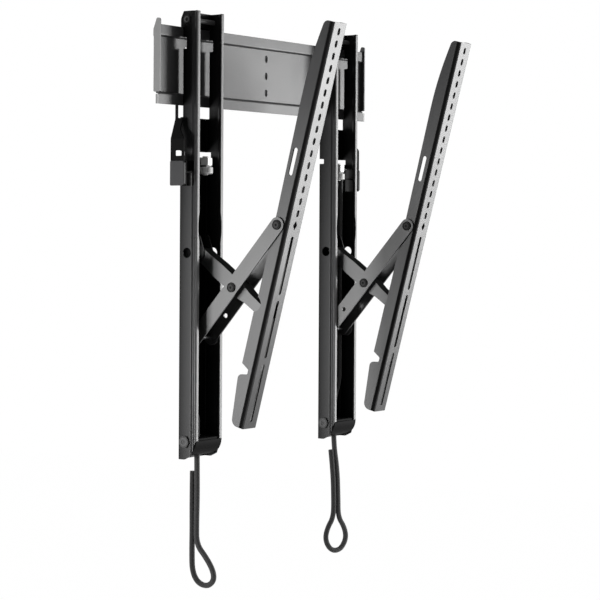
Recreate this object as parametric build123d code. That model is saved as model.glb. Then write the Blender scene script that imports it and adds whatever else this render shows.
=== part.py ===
from build123d import *
import math
import os

os.makedirs("parts", exist_ok=True)

# Frame: X to the right seen from the room, -Y out of the wall, +Z up, millimetres.
# The origin is the middle of the wall plate on the wall plane. The left half is drawn and mirrored.

# Wall plate
PLATE_HALF_W = 308.0
PLATE_HALF_H = 65.0
PLATE_T = 3.0
PLATE_OFF_WALL = 3.0
PANEL_FRONT = -(PLATE_OFF_WALL + PLATE_T)
LIP_FRONT = -11.0
LIP_REAR = LIP_FRONT + PLATE_T
LIP_Z = 45.5
EAR_T = 3.0
EAR_DEPTH = 14.0
EAR_TOP = 75.0
EAR_BUMP = (44.0, 47.0, 57.0)
EAR_REAR = -0.8
LIP_PAST_EAR = 3.0
WALL_HOLE_X = 225.0
WALL_HOLE_Z = 30.0
WALL_HOLE_R = 5.5
OVAL_R = 4.0
OVAL_LENGTH = 13.0
PAD_R = 13.0

# Rail, a lipped channel open to the room
RAIL_X = 206.0
RAIL_W = 74.0
RAIL_T = 2.5
RAIL_REAR = -4.0
RAIL_FRONT = -41.0
RAIL_LIP = 8.0
RAIL_TOP = 91.5
RAIL_LIP_END = -619.5
RAIL_FOOT = 31.5
RAIL_FOOT_Y = (-18.0, -30.0)
RAIL_FOOT_RISE = 6.0
RAIL_BOTTOM = RAIL_LIP_END - RAIL_FOOT
RAIL_BEND_R = 4.0
BEAD_Y = (-30.0, -38.0)
BEAD_DEEP = 1.5
TOP_WEB_Y = -12.0
TOP_WEB_END = (RAIL_TOP - 24.0, RAIL_TOP)
SEAT_GAP = 0.15
HOOK_BOTTOM = 52.0
NOTCH_FRONT = LIP_FRONT - 0.5
NOTCH_BOTTOM = -84.0
RELIEF_FRONT = -18.5
RELIEF_TOP = 48.0
RELIEF_BOTTOM = 29.0
SLOT_TOP = -140.0
SLOT_BOTTOM = -149.0
SLOT_DEPTH = 11.3
ACCESS_R = 8.5
AXLE_Y = -19.5
AXLE_Z = 77.5
AXLE_R = 4.0
AXLE_HEAD_R = 7.5
AXLE_HEAD_T = 1.8
LIP_RELIEF = 3.0
LIP_RELIEF_HALF = 26.0

# Scissor, drawn in the pose of the photo
SCISSOR_X = 200.0
PIVOT = (-21.0, -308.8)
CROSS = (-97.5, -365.0)
TOP_PIN = (-188.0, -262.0)
RUN_Y = -22.5
TILT = 15.0
ARM_TO_RAIL = 15.0
ARM_HALF_W = RAIL_W / 2 - ARM_TO_RAIL
ARM_T = 2.5
ARM_R = 12.7
FORK_GAP = 0.5
BRACKET_HALF_W = ARM_HALF_W - ARM_T - FORK_GAP
BRACKET_T = 2.5
LINK_TO_BRACKET = 6.0
LINK_HALF_W = BRACKET_HALF_W - BRACKET_T - LINK_TO_BRACKET
LINK_T = 2.5
LINK_R = 13.2
LINK_TOP_R = 11.5
LINK_END_R = 9.5
LINK_TIP_R = 8.4
PIN_R = 4.0
PIN_FIT = 0.05
HEAD_R = 8.0
HEAD_T = 2.6
SIDE_GAP = 0.4
GLIDE_R = 14.0
GLIDE_CLEAR = 2.6
OUTER_GLIDE_T = 4.9
INNER_GLIDE_T = 2.8
LOW_GLIDE_CLEAR = 2.5
SMALL_GLIDE_R = 8.6
CLEVIS_T = 2.5
CLEVIS_UP = 30.0
CLEVIS_DOWN = 17.0

# Screen bracket, drawn upright with its pin at the origin and its face towards -Y
FACE_OUT = 20.5
BRACKET_TOP = 339.0
BRACKET_END = -341.0
BRACKET_BEND_R = 3.0
GROOVE_OUT = (3.2, 5.9)
GROOVE_DEEP = 1.1
FLANGE_TOP_DEPTH = 18.5
FLANGE_DEPTH = 27.5
FLANGE_BULGE = 30.5
BULGE_DROP = 76.0
BULGE_Z = BRACKET_TOP - BULGE_DROP
GUIDE_DEPTH = 29.5
GUIDE_TOP = -147.0
GUIDE_END = -236.5
GUIDE_LIP = 7.5
GUIDE_OUT = 6.0
ENTRY_R = 13.5
ENTRY_RISE = 13.5
ENTRY_OFF = 5.0
HOLE_COUNT = 16
HOLE_PITCH = 20.0
HOLE_FIRST = 24.5
HOLE_W = 7.0
HOLE_H = 12.0
DIAMOND_Z = 4.5
SIDE_SLOT_Z = 106.0
SIDE_SLOT_L = 46.0
SIDE_SLOT_W = 8.0
SIDE_SLOT_OUT = 18.6
LONG_SLOTS = ((-14.0, -112.5), (-122.0, -220.5), (-230.5, -330.0))

# End cap, latch, levelling screw and pull cord
CAP_TOP = RAIL_LIP_END + 3.5
CAP_NOSE_R = 27.0
BOLT_Y = -18.5
BOLT_Z = RAIL_LIP_END - 2.1
BOLT_R = 5.0
BOLT_AF = 19.0
BOLT_HEAD_T = 3.0
BOLT_LENGTH = 20.0
LATCH_T = 2.5
LATCH_GAP = 7.0
LATCH_OFFSET = 19.0
LATCH_TOP = -60.0
LATCH_BEND = (-88.0, -121.0)
LATCH_REAR = -2.6
LATCH_NECK = -17.5
LATCH_FRONT = -30.0
LATCH_HOLE = (-25.5, -12.0, -149.0, -140.0)
GRIP_TOP = -157.0
GRIP_END = -198.0
GRIP_FRONT = -31.5
GRIP_REAR = -2.0
GRIP_T = 4.5
WINDOW = (-33.5, -7.0, GRIP_END, GRIP_TOP + 1.0)
TONGUE_Z = -174.0
TONGUE_Y = (-18.5, -7.5)
CLIP_Y = (-16.5, -8.5)
CLIP_Z = (GRIP_END - 8.0, GRIP_TOP + 8.0)
SCREW_Y = -25.5
SHELF_HALF_W = 11.0
SCREW_R = 5.0
SHELF_TOP = -163.4
SHELF_T = 2.2
HEX_AF = 20.0
HEX_T = 13.0
KNOB_R = 13.0
KNOB_T = 12.0
KNOB_RIBS = 28
CORD_R = 4.7
CORD_X = 227.5
CORD_HOLE_R = 5.3
CORD_IN_Y = -13.0
CORD_OUT_Y = -15.5

OUTER = -(RAIL_X + RAIL_W / 2)
INNER = -(RAIL_X - RAIL_W / 2)
WEB_FRONT = RAIL_REAR - RAIL_T
SX = -SCISSOR_X


def unit(v):
    size = math.sqrt(sum(c * c for c in v))
    return tuple(c / size for c in v)


def ring(points):
    """A flat face round the points (u, v, corner radius)."""
    ends = []
    for i, (u, v, r) in enumerate(points):
        p, n = points[i - 1], points[(i + 1) % len(points)]
        a = unit((p[0] - u, p[1] - v))
        b = unit((n[0] - u, n[1] - v))
        if r <= 0:
            ends.append(((u, v), None, (u, v)))
            continue
        half = math.acos(max(-1.0, min(1.0, a[0] * b[0] + a[1] * b[1]))) / 2
        cut = r / math.tan(half)
        m = unit((a[0] + b[0], a[1] + b[1]))
        far = r / math.sin(half) - r
        first = (u + a[0] * cut, v + a[1] * cut)
        last = (u + b[0] * cut, v + b[1] * cut)
        ends.append((first, (u + m[0] * far, v + m[1] * far), last))
    edges = []
    for i, (first, middle, last) in enumerate(ends):
        before = ends[i - 1][2]
        if math.dist(before, first) > 1e-6:
            edges.append(Line(before, first))
        if middle:
            edges.append(ThreePointArc(first, middle, last))
    return make_face(edges)


def along_x(face, x0, x1):
    """A face drawn in (y, z), run from x0 to x1."""
    return extrude(Plane((x0, 0, 0), x_dir=(0, 1, 0), z_dir=(1, 0, 0)) * face, x1 - x0)


def along_y(face, y0, y1):
    """A face drawn in (x, z), run from y0 back to y1, with y1 the smaller."""
    return extrude(Plane((0, y0, 0), x_dir=(1, 0, 0), z_dir=(0, -1, 0)) * face, y0 - y1)


def along_z(face, z0, z1):
    """A face drawn in (x, y), run from z0 to z1."""
    return extrude(Plane((0, 0, z0)) * face, z1 - z0)


def rod_x(y, z, r, x0, x1):
    return along_x(Pos(y, z) * Circle(r), x0, x1)


def tube_x(y, z, r, bore, x0, x1):
    return along_x(Pos(y, z) * (Circle(r) - Circle(bore)), x0, x1)


def block(x0, x1, y0, y1, z0, z1):
    middle = Pos((x0 + x1) / 2, (y0 + y1) / 2, (z0 + z1) / 2)
    return middle * Box(abs(x1 - x0), abs(y1 - y0), abs(z1 - z0))


def one(shape):
    """The single solid of a shape."""
    return shape.solids()[0]


def headed_pin(y, z, r, half, head_r=HEAD_R, head_t=HEAD_T):
    """A pin through the scissor with a chamfered, dimpled head at each end, outside +-half."""
    pin = rod_x(y, z, r, SX - half - head_t, SX + half + head_t)
    for side in (-1, 1):
        x = SX + side * half
        head = rod_x(y, z, head_r, min(x, x + side * head_t), max(x, x + side * head_t))
        rim = head.faces().sort_by(Axis.X)[0 if side < 0 else -1].edges()
        pin += chamfer(rim, 0.8)
        tip = x + side * head_t
        pin -= rod_x(y, z, 1.8, min(tip, tip - side), max(tip, tip - side))
        if head_r >= HEAD_R:
            deep = tip - side * 0.7
            pin -= tube_x(y, z, 6.5, 5.3, min(tip, deep), max(tip, deep))
    return one(pin)


def make_plate():
    half = PLATE_HALF_H
    web = LIP_Z + PLATE_T
    back = -PLATE_OFF_WALL
    up = [(back, web, 4.0), (LIP_REAR, web, 1.0), (LIP_REAR, half, 0.6), (LIP_FRONT, half, 0.6)]
    up += [(LIP_FRONT, LIP_Z, 4.0), (PANEL_FRONT, LIP_Z, 1.0)]
    down = [(y, -z, r) for y, z, r in reversed(up)]
    x0 = -PLATE_HALF_W + EAR_T
    body = along_x(ring(up + down), x0, -x0)
    ear = [(-EAR_DEPTH / 2, EAR_TOP, 2.5), (-EAR_DEPTH, EAR_TOP, 4.0), (-EAR_DEPTH, -LIP_Z, 2.0)]
    ear += [(EAR_REAR, -LIP_Z, 2.0), (EAR_REAR, EAR_BUMP[0], 0.5), (0, EAR_BUMP[1], 0.5), (0, EAR_BUMP[2], 2.0)]
    for side in (-1, 1):
        edge = side * PLATE_HALF_W
        body += along_x(ring(ear), min(edge, edge - side * EAR_T), max(edge, edge - side * EAR_T))
        tab = edge + side * LIP_PAST_EAR
        body += block(edge - side * EAR_T, tab, LIP_FRONT, LIP_REAR, -half, -web - 1)
        for z in (-WALL_HOLE_Z, WALL_HOLE_Z):
            spot = Pos(side * WALL_HOLE_X, z)
            body += along_y(spot * Circle(PAD_R), 0, back - 0.5)
            body -= along_y(spot * Circle(WALL_HOLE_R), 1, PANEL_FRONT - 1)
    body += along_y(Rectangle(2 * PAD_R, 2 * (WALL_HOLE_Z + PAD_R)), 0, back - 0.5)
    for z in (-WALL_HOLE_Z, 0, WALL_HOLE_Z):
        oval = Pos(0, z) * Rot(0, 0, 90) * SlotOverall(OVAL_LENGTH, 2 * OVAL_R)
        body -= along_y(oval, 1, PANEL_FRONT - 1)
    return one(body)


def make_rail():
    in_x = (OUTER + RAIL_T, INNER - RAIL_T)
    lips = (OUTER + RAIL_LIP, INNER - RAIL_LIP)
    inside = RAIL_BEND_R - RAIL_T
    lip_back = RAIL_FRONT + RAIL_T
    y0, y1 = BEAD_Y
    mid = (y0 + y1) / 2
    deep = BEAD_DEEP
    section = [(OUTER, RAIL_REAR, RAIL_BEND_R), (INNER, RAIL_REAR, RAIL_BEND_R), (INNER, y0, 2.0)]
    section += [(INNER - deep, mid, 2.0), (INNER, y1, 0.8), (INNER, RAIL_FRONT, RAIL_BEND_R - 1.2)]
    section += [(lips[1], RAIL_FRONT, 0.5), (lips[1], lip_back, 0), (in_x[1], lip_back, 0.3), (in_x[1], y1, 0)]
    section += [(in_x[1] - deep, mid, 2.0), (in_x[1], y0, 2.0), (in_x[1], WEB_FRONT, inside)]
    section += [(in_x[0], WEB_FRONT, inside), (in_x[0], y0, 2.0), (in_x[0] + deep, mid, 2.0), (in_x[0], y1, 0)]
    section += [(in_x[0], lip_back, 0.3), (lips[0], lip_back, 0), (lips[0], RAIL_FRONT, 0.5)]
    section += [(OUTER, RAIL_FRONT, RAIL_BEND_R - 1.2), (OUTER, y1, 0.8), (OUTER + deep, mid, 2.0), (OUTER, y0, 2.0)]
    body = along_z(ring(section), RAIL_BOTTOM - 5, RAIL_TOP + 5)
    seat = PLATE_HALF_H + SEAT_GAP
    hook = LIP_REAR + 0.6
    slot_front = RAIL_REAR - SLOT_DEPTH
    side = [(RAIL_FRONT, RAIL_TOP, 2.0), (TOP_WEB_Y, RAIL_TOP, 0.5), (RAIL_REAR, RAIL_TOP - 16, 6.0)]
    side += [(RAIL_REAR, HOOK_BOTTOM, 0.8)]
    side += [(hook, HOOK_BOTTOM, 0.8), (hook, seat, 0), (NOTCH_FRONT, seat, 0)]
    side += [(NOTCH_FRONT, RELIEF_TOP, 0), (RELIEF_FRONT, RELIEF_TOP, 1.5)]
    side += [(RELIEF_FRONT, RELIEF_BOTTOM, 1.5), (NOTCH_FRONT, RELIEF_BOTTOM, 0)]
    side += [(NOTCH_FRONT, NOTCH_BOTTOM, 1.0), (RAIL_REAR, NOTCH_BOTTOM, 1.0)]
    side += [(RAIL_REAR, SLOT_TOP, 0.5), (slot_front, SLOT_TOP, 1.5), (slot_front, SLOT_BOTTOM, 1.5)]
    side += [(RAIL_REAR, SLOT_BOTTOM, 0.5), (RAIL_REAR, RAIL_BOTTOM, 3.0), (RAIL_FOOT_Y[0], RAIL_BOTTOM, 4.0)]
    side += [(RAIL_FOOT_Y[1], RAIL_BOTTOM + RAIL_FOOT_RISE, 3.0), (RAIL_FRONT, RAIL_LIP_END, 1.0)]
    body = body & along_x(ring(side), OUTER - 1, INNER + 1)
    body -= block(*in_x, RAIL_FRONT - 1, lip_back, RAIL_BOTTOM - 1, RAIL_LIP_END)
    body += block(in_x[0] - 0.5, in_x[1] + 0.5, TOP_WEB_Y, TOP_WEB_Y - RAIL_T, *TOP_WEB_END)
    for edge, way in ((lips[0], -1), (lips[1], 1)):
        top = TOP_PIN[1] + LIP_RELIEF_HALF - 4
        low = TOP_PIN[1] - LIP_RELIEF_HALF - 4
        arc = ThreePointArc((edge, top), (edge + way * LIP_RELIEF, (top + low) / 2), (edge, low))
        bite = make_face([arc, Line((edge, low), (edge, top))])
        body -= along_y(bite, lip_back + 1, RAIL_FRONT - 1)
    body -= rod_x(*PIVOT, ACCESS_R, OUTER - 1, INNER + 1)
    body -= rod_x(AXLE_Y, AXLE_Z, AXLE_R, OUTER - 1, INNER + 1)
    body -= rod_x(BOLT_Y, BOLT_Z, BOLT_R + 0.2, OUTER - 1, INNER + 1)
    y0, y1, z0, z1 = WINDOW
    hole = ring([(y0, z0, 2), (y1, z0, 2), (y1, z1, 2), (y0, z1, 2)])
    body -= along_x(hole, OUTER - 1, OUTER + RAIL_T + 1)
    return one(body)


def make_axle():
    axle = rod_x(AXLE_Y, AXLE_Z, AXLE_R, OUTER - AXLE_HEAD_T, INNER + AXLE_HEAD_T)
    for edge, way in ((OUTER, -1), (INNER, 1)):
        tip = edge + way * AXLE_HEAD_T
        head = rod_x(AXLE_Y, AXLE_Z, AXLE_HEAD_R, min(edge, tip), max(edge, tip))
        rim = head.faces().sort_by(Axis.X)[0 if way < 0 else -1].edges()
        axle += chamfer(rim, 0.7)
        axle -= rod_x(AXLE_Y, AXLE_Z, 1.8, min(tip, tip - way), max(tip, tip - way))
    return one(axle)


def make_clevis():
    gap = LINK_HALF_W + SIDE_GAP
    wide = gap + CLEVIS_T
    base = WEB_FRONT - 2.0
    y, z = PIVOT
    cheek = [(WEB_FRONT, z + CLEVIS_UP, 2), (-24.0, z + CLEVIS_UP, 5), (-33.0, z + 4, 5), (-33.0, z - 7, 6)]
    cheek += [(-22.0, z - CLEVIS_DOWN, 5), (WEB_FRONT, z - CLEVIS_DOWN, 2)]
    body = block(SX - wide, SX + wide, WEB_FRONT, base, z - CLEVIS_DOWN, z + CLEVIS_UP)
    for side in (-1, 1):
        near, far = SX + side * gap, SX + side * wide
        body += along_x(ring(cheek), min(near, far), max(near, far))
    body -= rod_x(y, z, PIN_R, SX - wide - 1, SX + wide + 1)
    return one(body)


def local(face_points, angle, origin):
    """Points (y, z) of a piece drawn upright, turned by angle about X and moved to origin."""
    c, s = math.cos(math.radians(angle)), math.sin(math.radians(angle))
    return [(origin[0] + y * c - z * s, origin[1] + y * s + z * c, r) for y, z, r in face_points]


dy, dz = CROSS[0] - TOP_PIN[0], CROSS[1] - TOP_PIN[1]
ARM_UP = math.hypot(dy, dz)
ARM_ANGLE = math.degrees(math.atan2(dy, -dz))
ARM_DOWN = (RUN_Y - CROSS[0]) / (dy / ARM_UP)
RUN_PIN = (RUN_Y, CROSS[1] + ARM_DOWN * dz / ARM_UP)
ly, lz = CROSS[0] - PIVOT[0], CROSS[1] - PIVOT[1]
LINK_UP = math.hypot(ly, lz)
LINK_ANGLE = -math.degrees(math.atan2(-ly, -lz))
ct, st = math.cos(math.radians(TILT)), math.sin(math.radians(TILT))
guide = (TOP_PIN[0] - ct * GUIDE_OUT, TOP_PIN[1] - st * GUIDE_OUT)
ux, uz = ly / LINK_UP, lz / LINK_UP
det = ux * ct + uz * st
LINK_DOWN = ((guide[0] - CROSS[0]) * ct + (guide[1] - CROSS[1]) * st) / det
LOW_PIN = (CROSS[0] + ux * LINK_DOWN, CROSS[1] + uz * LINK_DOWN)
LOW_PIN_Z = (LOW_PIN[1] - TOP_PIN[1]) * ct - (LOW_PIN[0] - TOP_PIN[0]) * st


def make_arm():
    up, down = ARM_UP + ARM_R, -ARM_DOWN - ARM_R
    plate = [(-ARM_R, down, ARM_R - 0.01), (ARM_R, down, ARM_R - 0.01)]
    plate += [(ARM_R, up, ARM_R - 0.01), (-ARM_R, up, ARM_R - 0.01)]
    cheek = ring(local(plate, ARM_ANGLE, CROSS))
    low, high = -ARM_DOWN + 22.0, -24.0
    web = [(ARM_R - ARM_T, low, 0), (ARM_R, low, 0), (ARM_R, high, 0), (ARM_R - ARM_T, high, 0)]
    body = along_x(ring(local(web, ARM_ANGLE, CROSS)), SX - ARM_HALF_W, SX + ARM_HALF_W)
    for side in (-1, 1):
        far, near = SX + side * ARM_HALF_W, SX + side * (ARM_HALF_W - ARM_T)
        body += along_x(cheek, min(near, far), max(near, far))
    ends = (SX - ARM_HALF_W - 1, SX + ARM_HALF_W + 1)
    for spot in (CROSS, TOP_PIN, RUN_PIN):
        body -= rod_x(*spot, PIN_R, *ends)
    spot = local([(0.0, -ARM_DOWN / 2 - 8, 0)], ARM_ANGLE, CROSS)[0]
    body -= rod_x(spot[0], spot[1], 4.0, SX, ends[1])
    return one(body)


def make_link():
    end = -LINK_UP - LINK_DOWN
    r = LINK_TOP_R
    plate = [(-r, r, r - 0.01), (r, r, r - 0.01), (r, -20, 20), (LINK_R, -48, 30)]
    plate += [(LINK_R, -LINK_UP - 6, 20), (LINK_END_R, -LINK_UP - 30, 20)]
    plate += [(LINK_TIP_R, end - LINK_TIP_R, LINK_TIP_R - 0.3)]
    plate += [(-LINK_TIP_R, end - LINK_TIP_R, LINK_TIP_R - 0.3)]
    plate += [(-LINK_END_R, -LINK_UP - 30, 20), (-LINK_R, -LINK_UP - 6, 20), (-LINK_R, -48, 30)]
    plate += [(-r, -20, 20)]
    cheek = ring(local(plate, LINK_ANGLE, PIVOT))
    cut = 60.0
    inner = [(-r + LINK_T, r, 0), (cut, r, 0), (cut, end - 20, 0), (-LINK_TIP_R + LINK_T, end - 20, 0)]
    inner += [(-LINK_END_R + LINK_T, -LINK_UP - 30, 20), (-LINK_R + LINK_T, -LINK_UP - 6, 20)]
    inner += [(-LINK_R + LINK_T, -48, 30), (-r + LINK_T, -20, 20)]
    hollow = ring(local(inner, LINK_ANGLE, PIVOT))
    gap = LINK_HALF_W - LINK_T
    body = along_x(cheek, SX - LINK_HALF_W, SX + LINK_HALF_W)
    body -= along_x(hollow, SX - gap, SX + gap)
    tips = [(-cut, -2.0, 0), (cut, -2.0, 0), (cut, cut, 0), (-cut, cut, 0)]
    body -= along_x(ring(local(tips, LINK_ANGLE, PIVOT)), SX - gap, SX + gap)
    tips = [(-cut, end + 12, 0), (cut, end + 12, 0), (cut, end - 30, 0), (-cut, end - 30, 0)]
    body -= along_x(ring(local(tips, LINK_ANGLE, PIVOT)), SX - gap, SX + gap)
    ends = (SX - LINK_HALF_W - 1, SX + LINK_HALF_W + 1)
    for spot, grow in ((PIVOT, PIN_FIT), (CROSS, PIN_FIT), (LOW_PIN, 0)):
        body -= rod_x(*spot, PIN_R + grow, *ends)
    return one(body)


def make_cross_bushes():
    parts = []
    near, far = LINK_HALF_W + 0.2, ARM_HALF_W - ARM_T
    for side in (-1, 1):
        a, b = SX + side * near, SX + side * far
        parts.append(one(tube_x(*CROSS, 7.0, PIN_R, min(a, b), max(a, b))))
    return Compound(children=parts)


def make_run_pin():
    return one(rod_x(*RUN_PIN, PIN_R, OUTER + RAIL_T + 0.6, INNER - RAIL_T - 0.6))


def make_run_glides():
    parts = []
    low, high = OUTER + RAIL_T + GLIDE_CLEAR, INNER - RAIL_T - GLIDE_CLEAR
    for x0, x1 in ((low, low + OUTER_GLIDE_T), (high - INNER_GLIDE_T, high)):
        glide = tube_x(*RUN_PIN, GLIDE_R, PIN_R, x0, x1)
        rims = glide.edges().filter_by(GeomType.CIRCLE).group_by(SortBy.RADIUS)[-1]
        parts.append(one(chamfer(rims, 0.8)))
    return Compound(children=parts)


def make_low_pin():
    half = BRACKET_HALF_W - BRACKET_T - 0.7
    return one(rod_x(*LOW_PIN, PIN_R, SX - half, SX + half))


def make_low_glides():
    parts = []
    near, far = LINK_HALF_W, BRACKET_HALF_W - BRACKET_T - LOW_GLIDE_CLEAR
    for side in (-1, 1):
        a, b = SX + side * near, SX + side * far
        parts.append(one(tube_x(*LOW_PIN, SMALL_GLIDE_R, PIN_R, min(a, b), max(a, b))))
    return Compound(children=parts)


def make_bracket():
    front = -FACE_OUT
    wide, t = BRACKET_HALF_W, BRACKET_T
    rear = front + GUIDE_DEPTH
    inside = BRACKET_BEND_R - t
    deep = rear + 6.0
    section = [(-wide, deep, 0), (-wide, front, BRACKET_BEND_R), (wide, front, BRACKET_BEND_R)]
    section += [(wide, deep, 0), (wide - t, deep, 0), (wide - t, front + t, inside)]
    section += [(-wide + t, front + t, inside), (-wide + t, deep, 0)]
    body = along_z(ring(section), BRACKET_END, BRACKET_TOP)
    top_rear, mid_rear = front + FLANGE_TOP_DEPTH, front + FLANGE_DEPTH
    notch = front + 15.0
    side = [(front - 1, BRACKET_TOP, 0), (top_rear, BRACKET_TOP, 9.0), (front + FLANGE_BULGE, BULGE_Z, 600.0)]
    side += [(mid_rear, 20.0, 40.0)]
    side += [(mid_rear, GUIDE_TOP + 6, 4.0), (rear, GUIDE_TOP, 1.5), (rear, GUIDE_END, 1.5)]
    side += [(notch, GUIDE_END - 7, 2.5), (notch, GUIDE_END - 15, 2.5), (rear + 3.0, GUIDE_END - 20, 8.0)]
    side += [(front + 24.0, BRACKET_END, 12.0), (front - 1, BRACKET_END, 0)]
    body = body & along_x(ring(side), -wide - 1, wide + 1)
    for way in (-1, 1):
        edge = way * wide
        lip = block(edge, edge - way * GUIDE_LIP, rear - t, rear, GUIDE_END + 2, GUIDE_TOP - 2)
        body += lip
    for way in (-1, 1):
        far, deep = way * (wide + 1), way * (wide - GROOVE_DEEP)
        near, end = front + GROOVE_OUT[0], front + GROOVE_OUT[1]
        groove = ring([(far, near - 0.6, 0), (deep, near + 0.7, 0), (deep, end - 0.7, 0), (far, end + 0.6, 0)])
        body -= along_z(groove, BRACKET_END - 1, BRACKET_TOP + 1)
    entry = Pos(mid_rear + ENTRY_OFF, LOW_PIN_Z + ENTRY_RISE) * Circle(ENTRY_R)
    body -= along_x(entry, -wide - 1, -wide + t + 0.01)
    body -= rod_x(0, 0, PIN_R + PIN_FIT, -wide - 1, wide + 1)
    oblong = Rot(0, 0, 90) * SlotOverall(HOLE_H, HOLE_W)
    for i in range(HOLE_COUNT):
        body -= along_y(Pos(0, HOLE_FIRST + i * HOLE_PITCH) * oblong, front + t + 1, front - 1)
    diamond = ring([(0, DIAMOND_Z + 8, 0.8), (5.5, DIAMOND_Z, 0.8), (0, DIAMOND_Z - 8, 0.8), (-5.5, DIAMOND_Z, 0.8)])
    body -= along_y(diamond, front + t + 1, front - 1)
    for high, low in LONG_SLOTS:
        slot = Pos(0, (high + low) / 2) * Rot(0, 0, 90) * SlotOverall(high - low, HOLE_W)
        body -= along_y(slot, front + t + 1, front - 1)
    slot = Pos(front + SIDE_SLOT_OUT, SIDE_SLOT_Z) * Rot(0, 0, 90) * SlotOverall(SIDE_SLOT_L, SIDE_SLOT_W)
    body -= along_x(slot, -wide - 1, wide + 1)
    return one(Pos(SX, *TOP_PIN) * Rot(TILT, 0, 0) * body)


def make_cap(rail):
    lip_back = RAIL_FRONT + RAIL_T
    low = RAIL_LIP_END - CAP_NOSE_R
    shape = [(lip_back, CAP_TOP, 1.0), (WEB_FRONT, CAP_TOP, 0.5), (WEB_FRONT, low, 1.0)]
    shape += [(RAIL_FRONT, low, CAP_NOSE_R - 1.5), (RAIL_FRONT, RAIL_LIP_END - 0.2, 0.6)]
    shape += [(lip_back, RAIL_LIP_END - 0.2, 0)]
    x0, x1 = OUTER + RAIL_T, INNER - RAIL_T
    body = along_x(ring(shape), x0, x1)
    body -= rail
    body -= along_z(Pos(-RAIL_X, CORD_OUT_Y) * Circle(CORD_HOLE_R), low - 1, CAP_TOP + 1)
    for start, way in ((x0, 1), (x1, -1)):
        deep = start + way * (BOLT_LENGTH - RAIL_T)
        body -= rod_x(BOLT_Y, BOLT_Z, BOLT_R, min(start, deep), max(start, deep))
    return body.solids().sort_by(SortBy.VOLUME)[-1]


def make_end_bolts():
    parts = []
    for edge, way in ((OUTER, -1), (INNER, 1)):
        tip, deep = edge + way * BOLT_HEAD_T, edge - way * BOLT_LENGTH
        shank = rod_x(BOLT_Y, BOLT_Z, BOLT_R, min(edge, deep), max(edge, deep))
        hexagon = Pos(BOLT_Y, BOLT_Z) * RegularPolygon(BOLT_AF / 2, 6, major_radius=False)
        head = along_x(hexagon, min(edge, tip), max(edge, tip))
        cone_r = BOLT_AF / math.sqrt(3) + 0.4
        round_off = rod_x(BOLT_Y, BOLT_Z, cone_r, min(edge, tip), max(edge, tip))
        rim = round_off.faces().sort_by(Axis.X)[0 if way < 0 else -1].edges()
        head = head & chamfer(rim, 1.8)
        head -= rod_x(BOLT_Y, BOLT_Z, 4.5, min(tip, tip - way), max(tip, tip - way))
        parts.append(one(shank + head))
    return Compound(children=parts)


def make_latch():
    near = OUTER - LATCH_GAP
    far = near - LATCH_T
    out = OUTER - LATCH_OFFSET
    end = GRIP_END + 2
    high, low = LATCH_BEND
    lift = LATCH_T * math.tan(math.atan2(near - out, high - low) / 2)
    strip = [(far, LATCH_TOP, 0.5), (near, LATCH_TOP, 0.5), (near, high, 3), (out, low, 3)]
    strip += [(out, end, 0.5), (out - LATCH_T, end, 0.5)]
    strip += [(out - LATCH_T, low + lift, 5.5), (far, high + lift, 5.5)]
    hook = LIP_REAR + 0.9
    outline = [(LATCH_REAR, LATCH_TOP, 1.5), (hook, LATCH_TOP, 1.5), (hook, NOTCH_BOTTOM - 2, 1.5)]
    outline += [(LATCH_NECK, NOTCH_BOTTOM - 2, 3), (LATCH_NECK, high - 17, 10), (LATCH_FRONT, low - 1, 10)]
    outline += [(LATCH_FRONT, GRIP_TOP, 0), (GRIP_FRONT + 2, GRIP_TOP, 0), (GRIP_FRONT + 2, end, 2)]
    outline += [(GRIP_REAR - 2, end, 2), (GRIP_REAR - 2, GRIP_TOP, 0), (LATCH_REAR, GRIP_TOP, 0)]
    body = along_y(ring(strip), 0, -40) & along_x(ring(outline), out - 5, OUTER)
    body += block(out - 0.5, -CORD_X + CORD_R + 1.5, *TONGUE_Y, TONGUE_Z, TONGUE_Z - LATCH_T)
    inside = OUTER + RAIL_T + 0.3
    body += block(inside, inside + 2.0, *CLIP_Y, *CLIP_Z)
    y0, y1, z0, z1 = LATCH_HOLE
    window = ring([(y0, z0, 1.5), (y1, z0, 1.5), (y1, z1, 1.5), (y0, z1, 1.5)])
    body -= along_x(window, out - 5, out + 1)
    body -= along_z(Pos(-CORD_X, CORD_IN_Y) * Circle(CORD_R), TONGUE_Z - LATCH_T - 1, TONGUE_Z + 1)
    return one(body)


def make_grip(latch):
    out = OUTER - LATCH_OFFSET
    front, rear = GRIP_FRONT, GRIP_REAR
    shape = ring([(front, GRIP_END, 5.0), (rear, GRIP_END, 2.0), (rear, GRIP_TOP, 2.0), (front, GRIP_TOP, 5.0)])
    skin = (GRIP_T - LATCH_T) / 2
    body = along_x(shape, out - LATCH_T - skin, out + skin)
    body = fillet(body.faces().sort_by(Axis.X)[0].edges(), 0.8)
    body -= latch
    return body.solids().sort_by(SortBy.VOLUME)[-1]


def make_shelf():
    wide = SHELF_HALF_W
    body = block(SX - wide, SX + wide, WEB_FRONT, SCREW_Y - 8, SHELF_TOP, SHELF_TOP - SHELF_T)
    body = fillet(body.edges().filter_by(Axis.Z).group_by(Axis.Y)[0], 5)
    body += block(SX - wide, SX + wide, WEB_FRONT, WEB_FRONT - SHELF_T, SHELF_TOP, SHELF_TOP - 24)
    body -= along_z(Pos(SX, SCREW_Y) * Circle(SCREW_R + 0.35), SHELF_TOP - 5, SHELF_TOP + 1)
    return one(body)


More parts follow.
